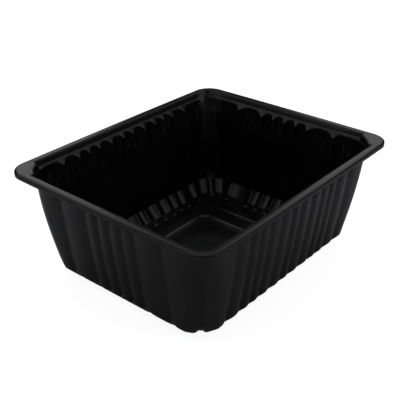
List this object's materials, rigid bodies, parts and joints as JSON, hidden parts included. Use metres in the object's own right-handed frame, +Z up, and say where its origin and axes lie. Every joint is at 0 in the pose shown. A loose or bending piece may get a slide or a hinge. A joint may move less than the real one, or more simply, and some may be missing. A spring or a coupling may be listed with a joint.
{
  "type": "sealable meal tray",
  "caption": "Deep black plastic food tray with fluted walls, a flat sealing flange with a turned-down lip, and a stepped shoulder inside it.",
  "frame": {"origin": "on the surface the tray stands on, under the middle of the tray", "axes": "+X along the long sides, +Y along the short sides, +Z up out of the open top"},
  "size_m": [0.19, 0.156, 0.0733],
  "materials": {
    "tray": "satin black formed plastic sheet"
  },
  "bodies": {
    "root": {"tray": "tray"}
  },
  "joints": []
}
